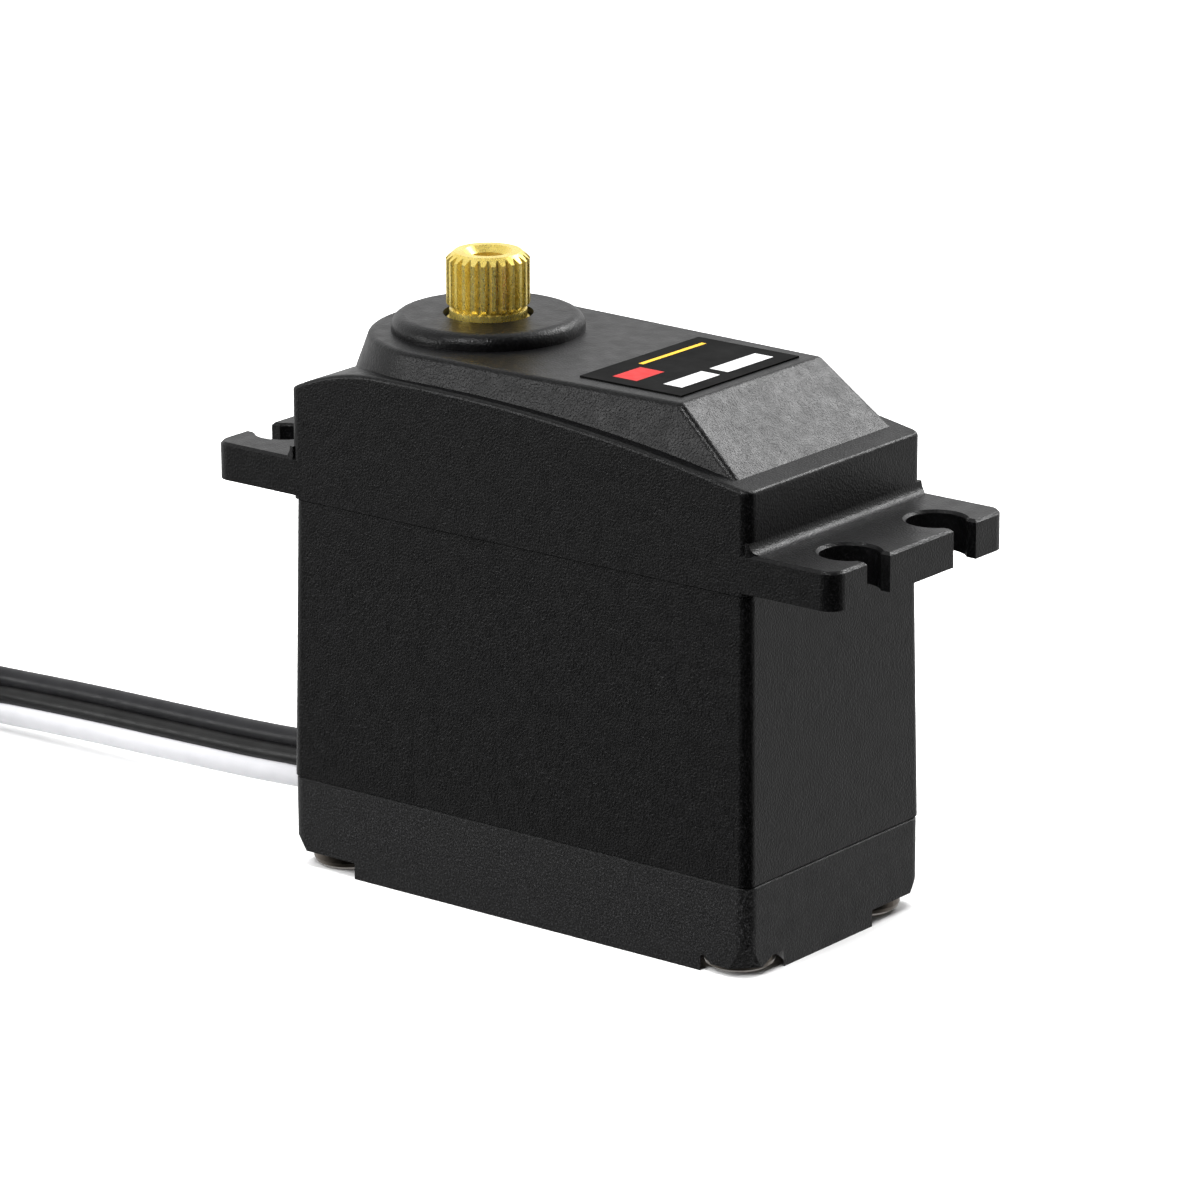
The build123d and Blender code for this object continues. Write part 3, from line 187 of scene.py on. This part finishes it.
def label_film(name):
    """Black printed film with a dull surface."""
    shader = Shader(name)
    shader.color(shader.noise(500, 2), (0.004, 0.004, 0.004), (0.006, 0.006, 0.006))
    shader.roughness(shader.noise(800, 2), 0.30, 0.38)
    shader.set(Specular_IOR_Level=0.06, IOR=1.12)
    shader.bump(shader.noise(700, 2), 0.05, 0.00006)
    return shader.material


def dress(material, *names):
    """Gives CAD nodes a material."""
    for name in names:
        data = nodes[name].data
        data.materials.clear()
        data.materials.append(material)


def dress_nodes():
    """Every CAD node that shows, inside the case and out, gets its finish."""
    dress(case_plastic("upper_case_plastic", (0.0009, 0.0009, 0.0010), 0.37), "upper_case")
    dress(case_plastic("middle_case_plastic", (0.0009, 0.0009, 0.0010), 0.35), "middle_case")
    dress(case_plastic("cover_plastic", (0.0040, 0.0040, 0.0042), 0.44), "bottom_cover")
    dress(label_film("label_film"), "label")

    steel = metal("screw_steel", (0.15, 0.13, 0.11), (0.24, 0.21, 0.18), 0.36)
    dress(steel, "case_screws", "motor_screws")
    bearing = metal("bearing_steel", (0.55, 0.55, 0.57), (0.68, 0.68, 0.70), 0.20, (1, 1, 8))
    dress(bearing, "upper_bearing_outer_race", "upper_bearing_inner_race", "upper_bearing_balls",
          "lower_bearing_outer_race", "lower_bearing_inner_race", "lower_bearing_balls")
    dress(plain_plastic("cage_nylon", (0.55, 0.50, 0.38), (0.64, 0.59, 0.47), 0.5),
          "upper_bearing_cage", "lower_bearing_cage")
    brass = metal("brass", (0.84, 0.64, 0.14), (0.95, 0.77, 0.23), 0.28, (1, 1, 0.5), 7000, 0.80)
    dress(brass, "output_shaft", "output_gear", "motor_pinion",
          "first_gear_wheel", "second_gear_wheel", "third_gear_wheel")
    hobbed = metal("gear_steel", (0.42, 0.42, 0.43), (0.56, 0.56, 0.57), 0.30, (1, 1, 0.3))
    dress(hobbed, "first_gear_pinion", "second_gear_pinion", "third_gear_pinion")
    dress(metal("pin_steel", (0.58, 0.58, 0.60), (0.70, 0.70, 0.72), 0.18),
          "gear_pin_a", "gear_pin_b", "motor_shaft")
    dress(metal("can_steel", (0.50, 0.50, 0.50), (0.62, 0.62, 0.61), 0.30, (1, 1, 0.2)), "motor_can")
    dress(metal("bronze", (0.42, 0.24, 0.10), (0.52, 0.31, 0.14), 0.45), "motor_bushings")
    dress(metal("core_iron", (0.12, 0.12, 0.13), (0.20, 0.20, 0.21), 0.50, (1, 1, 12)), "rotor_core")
    dress(metal("copper", (0.62, 0.25, 0.11), (0.76, 0.36, 0.18), 0.28, (1, 1, 10)),
          "rotor_windings", "commutator", "motor_brushes", "motor_terminals")
    dress(metal("gold_flash", (0.78, 0.55, 0.20), (0.88, 0.66, 0.30), 0.24),
          "connector_contacts", "pot_terminals", "pot_wiper")
    dress(metal("capacitor_can", (0.60, 0.60, 0.62), (0.72, 0.72, 0.74), 0.25), "board_capacitor")
    dress(plain_plastic("ferrite", (0.045, 0.045, 0.048), (0.07, 0.07, 0.075), 0.6), "motor_magnets")
    dress(plain_plastic("nylon", (0.62, 0.61, 0.56), (0.72, 0.71, 0.67), 0.45),
          "motor_end_cap", "pot_shaft")
    dress(plain_plastic("sensor_plastic", (0.02, 0.07, 0.05), (0.03, 0.10, 0.07), 0.4), "pot_housing")
    dress(plain_plastic("carbon_track", (0.02, 0.02, 0.02), (0.035, 0.035, 0.035), 0.35), "pot_track")
    dress(plain_plastic("solder_mask", (0.01, 0.09, 0.03), (0.015, 0.13, 0.045), 0.3), "control_board")
    dress(plain_plastic("chip_epoxy", (0.012, 0.012, 0.012), (0.02, 0.02, 0.02), 0.55),
          "board_chips", "board_resistors")
    dress(rubber("sensor_wire", (0.42, 0.02, 0.015), (0.55, 0.035, 0.02)), "pot_leads")
    dress(rubber("boot_rubber", (0.010, 0.010, 0.010), (0.016, 0.016, 0.016), 0.55), "cable_grommet")
    dress(rubber("tie_sleeve", (0.02, 0.02, 0.02), (0.03, 0.03, 0.03), 0.4), "lead_ties")
    dress(plain_plastic("connector_plastic", (0.010, 0.010, 0.010), (0.015, 0.015, 0.015), 0.42),
          "connector_housing")


# ---- Lead ----------------------------------------------------------------------------

# The lead's route, as in the part's source: from the board through the wall, along the bench.
LEAD_ROUTE = [
    (-13.05, 0.0, 4.2),
    (-21.5, 0.0, 4.3),
    (-30.5, 0.0, 3.55),
    (-40.5, 0.0, 3.3),
    (-50.5, 0.0, 3.1),
    (-59.5, 0.0, 2.7),
    (-67.0, 0.0, 2.5),
]
TAIL_ROUTE = [
    (-84.0, -2.4, 2.5),
    (-91.5, -3.3, 2.5),
    (-98.5, -5.6, 2.5),
    (-105.5, -8.2, 2.5),
    (-112.5, -9.6, 2.5),
]
HANK_RIGHT_X = -70.0
HANK_LEFT_X = -125.0
HANK_Y = -12.2
HANK_Z = 2.5
OUTER_LANE = 12.2            # distance of the first lane from the fold centres
INNER_LANE = 9.8
FOLD_POINTS = 10             # points in each half turn
WIRE_RADIUS = 0.82
WIRE_STEP = 1.34             # the wires are welded together, so they stand closer than two radii
LEAN = math.radians(30)      # how far the flat lead leans over between the case and the hank
LEAN_START = 8 * MM          # along the lead: where it starts to lean and where it stands again
LEAN_END = 52 * MM
LEAN_TURN = 8 * MM
WIRE_SIDES = 18


def hank_points():
    """One turn and a quarter round the two fold centres, closing in from the outer lane."""
    points = []
    for centre_x, start in ((HANK_LEFT_X, 90), (HANK_RIGHT_X, 270)):
        for step in range(FOLD_POINTS + 1):
            angle = math.radians(start + 180 * step / FOLD_POINTS)
            wound = (math.degrees(angle) - 90) / 360
            lane = OUTER_LANE + (INNER_LANE - OUTER_LANE) * wound
            points.append((centre_x + lane * math.cos(angle), HANK_Y + lane * math.sin(angle), HANK_Z))
    return points


def nurbs_line(name, points):
    """The points along one smooth NURBS curve, read from Blender's own evaluation of it."""
    curve = bpy.data.curves.new(name, "CURVE")
    curve.dimensions = "3D"
    curve.resolution_u = 8
    spline = curve.splines.new("NURBS")
    spline.points.add(len(points) - 1)
    for target, (x, y, z) in zip(spline.points, points):
        target.co = (x * MM, y * MM, z * MM, 1)
    spline.order_u = 3
    spline.use_endpoint_u = True
    guide = bpy.data.objects.new(name, curve)
    mesh = bpy.data.meshes.new_from_object(guide)
    line = [vertex.co.copy() for vertex in mesh.vertices]
    bpy.data.objects.remove(guide)
    bpy.data.curves.remove(curve)
    bpy.data.meshes.remove(mesh)
    return line


def ring_frames(line):
    """At each point of the line, its place, the direction across the ribbon and the one up it."""
    frames = []
    last = len(line) - 1
    travelled = 0.0
    for index, point in enumerate(line):
        travelled += (point - line[max(index - 1, 0)]).length
        along = (line[min(index + 1, last)] - line[max(index - 1, 0)]).normalized()
        across = Vector((0, 0, 1)).cross(along).normalized()
        rise = min(travelled - LEAN_START, LEAN_END - travelled) / LEAN_TURN
        lean = Matrix.Rotation(LEAN * max(0.0, min(1.0, rise)), 3, along)
        frames.append((point, lean @ across, lean @ along.cross(across)))
    return frames


def make_lead():
    """Three wires welded into a flat lead that stands on edge: black, black and white."""
    line = nurbs_line("lead_guide", LEAD_ROUTE + hank_points() + TAIL_ROUTE)
    frames = ring_frames(line)
    vertices = []
    faces = []
    slots = []
    for wire, offset in enumerate((WIRE_STEP, 0, -WIRE_STEP)):
        base = len(vertices)
        for point, across, up in frames:
            for side in range(WIRE_SIDES):
                angle = 2 * math.pi * side / WIRE_SIDES
                out = across * math.cos(angle) + up * math.sin(angle)
                vertices.append(point + up * offset * MM + out * WIRE_RADIUS * MM)
        for ring in range(len(frames) - 1):
            for side in range(WIRE_SIDES):
                after = (side + 1) % WIRE_SIDES
                low, high = base + ring * WIRE_SIDES, base + (ring + 1) * WIRE_SIDES
                faces.append((low + side, low + after, high + after, high + side))
                slots.append(wire)
        for ring, order in ((0, -1), (len(frames) - 1, 1)):
            start = base + ring * WIRE_SIDES
            faces.append(tuple(range(start, start + WIRE_SIDES))[::order])
            slots.append(wire)
    mesh = bpy.data.meshes.new("servo_lead_wires")
    mesh.from_pydata(vertices, [], faces)
    mesh.materials.append(rubber("wire_signal", (0.006, 0.006, 0.007), (0.010, 0.010, 0.011), 0.40))
    mesh.materials.append(rubber("wire_supply", (0.005, 0.005, 0.005), (0.009, 0.009, 0.009), 0.40))
    mesh.materials.append(rubber("wire_ground", (0.37, 0.37, 0.385), (0.40, 0.40, 0.415), 0.45))
    for polygon, slot in zip(mesh.polygons, slots):
        polygon.material_index = slot
        polygon.use_smooth = len(polygon.vertices) == 4
    lead = bpy.data.objects.new("servo_lead_wires", mesh)
    bpy.context.collection.objects.link(lead)
    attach(lead, "case")
    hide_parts("servo_lead", "servo_lead_tail", "servo_lead_hank")


# ---- Label print ---------------------------------------------------------------------


def printed_block(name, blocks, material):
    """Flat ink blocks just above the label, each (x0, x1, y0, y1) in millimetres."""
    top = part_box("label")[1][2] + 0.006 * MM
    vertices = []
    faces = []
    for x0, x1, y0, y1 in blocks:
        first = len(vertices)
        vertices += [(x * MM, y * MM, top) for x, y in ((x0, y0), (x1, y0), (x1, y1), (x0, y1))]
        faces.append((first, first + 1, first + 2, first + 3))
    mesh = bpy.data.meshes.new(name)
    mesh.from_pydata(vertices, [], faces)
    mesh.materials.append(material)
    piece = bpy.data.objects.new(name, mesh)
    bpy.context.collection.objects.link(piece)
    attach(piece, "case")


def make_label_print():
    """Plain bars in place of the print: one red, one amber and two white."""
    white = plain_plastic("ink_white", (0.44, 0.44, 0.44), (0.48, 0.48, 0.48), 0.5)
    red = plain_plastic("ink_red", (0.30, 0.006, 0.006), (0.36, 0.010, 0.010), 0.5)
    amber = plain_plastic("ink_amber", (0.55, 0.30, 0.01), (0.62, 0.36, 0.02), 0.5)
    printed_block("label_white_bars", [(9.2, 10.8, -5.0, -0.7), (9.2, 10.8, 0.2, 5.4)], white)
    printed_block("label_red_bar", [(5.2, 7.3, -5.5, -2.4)], red)
    printed_block("label_amber_bar", [(4.5, 4.9, -1.7, 5.5)], amber)


# ---- Stage and light -----------------------------------------------------------------

FLOOR_HALF = 3.0
OBJECT_MIDDLE = (0, 0, 0.03)
OBJECT_FOOT = (0, 0, 0)
FRONT = (0.60, -0.80, 0.0)   # the level direction towards the viewer
# How bright the studio is, from straight behind the object (0) to straight in front of it (1).
WORLD_GREYS = [
    (0.0, 0.86),
    (0.38, 0.50),
    (0.62, 0.075),
    (0.74, 0.006),
    (1.0, 0.004),
]
# Soft panels: name, place, what they face, width and height, watts, and whether glossy surfaces
# mirror them.
PANELS = [
    ("back_panel", (0.12, 0.60, 0.51), OBJECT_MIDDLE, (0.35, 0.25), 2.4, True),
    ("side_panel", (-0.60, -0.80, 0.22), OBJECT_MIDDLE, (0.5, 0.3), 1.8, True),
    ("rim_panel", (0.03, -0.58, 0.69), OBJECT_MIDDLE, (0.16, 0.16), 2.2, True),
    ("top_panel", (0.0, 0.0, 1.1), OBJECT_MIDDLE, (0.9, 0.9), 26, False),
    ("fill_panel", (-0.3, -0.7, 0.7), OBJECT_FOOT, (0.9, 0.9), 9, False),
]


def make_floor():
    """A plain pale floor at z = 0, which glossy surfaces don't mirror."""
    mesh = bpy.data.meshes.new("floor")
    half = FLOOR_HALF
    corners = [(-half, -half, 0), (half, -half, 0), (half, half, 0), (-half, half, 0)]
    mesh.from_pydata(corners, [], [(0, 1, 2, 3)])
    shader = Shader("floor_paper")
    shader.color(shader.noise(30, 2), (0.90, 0.90, 0.90), (0.92, 0.92, 0.92))
    shader.set(Roughness=0.9)
    mesh.materials.append(shader.material)
    floor = bpy.data.objects.new("floor", mesh)
    floor.visible_glossy = False
    bpy.context.collection.objects.link(floor)


def softbox(name, place, target, size, watts, mirrored):
    """A soft panel at one place that faces another."""
    data = bpy.data.lights.new(name, "AREA")
    data.shape = "RECTANGLE"
    data.size, data.size_y = size
    data.energy = watts
    lamp = bpy.data.objects.new(name, data)
    lamp.location = place
    lamp.rotation_euler = (Vector(target) - Vector(place)).to_track_quat("-Z", "Y").to_euler()
    lamp.visible_glossy = mirrored
    bpy.context.collection.objects.link(lamp)


def make_light():
    """A studio with soft panels round the object, and a world that darkens towards the viewer."""
    world = bpy.data.worlds.new("studio")
    world.use_nodes = True
    tree = world.node_tree
    background = tree.nodes["Background"]
    place = tree.nodes.new("ShaderNodeTexCoord").outputs["Generated"]
    front = tree.nodes.new("ShaderNodeVectorMath")
    front.operation = "DOT_PRODUCT"
    front.inputs[1].default_value = FRONT
    tree.links.new(place, front.inputs[0])
    ramp = tree.nodes.new("ShaderNodeValToRGB")
    stops = ramp.color_ramp.elements
    for position, _ in WORLD_GREYS[1:-1]:
        stops.new(position)
    for stop, (_, grey) in zip(stops, WORLD_GREYS):
        stop.color = (grey, grey, grey, 1)
    spread = tree.nodes.new("ShaderNodeMapRange")
    spread.inputs["From Min"].default_value = -1
    tree.links.new(front.outputs["Value"], spread.inputs["Value"])
    tree.links.new(spread.outputs["Result"], ramp.inputs["Fac"])
    tree.links.new(ramp.outputs["Color"], background.inputs["Color"])
    background.inputs["Strength"].default_value = 1.0
    bpy.context.scene.world = world
    for panel in PANELS:
        softbox(*panel)


scene = bpy.context.scene
scene.view_settings.view_transform = "Standard"
make_camera()
dress_nodes()
make_lead()
make_label_print()
make_floor()
make_light()
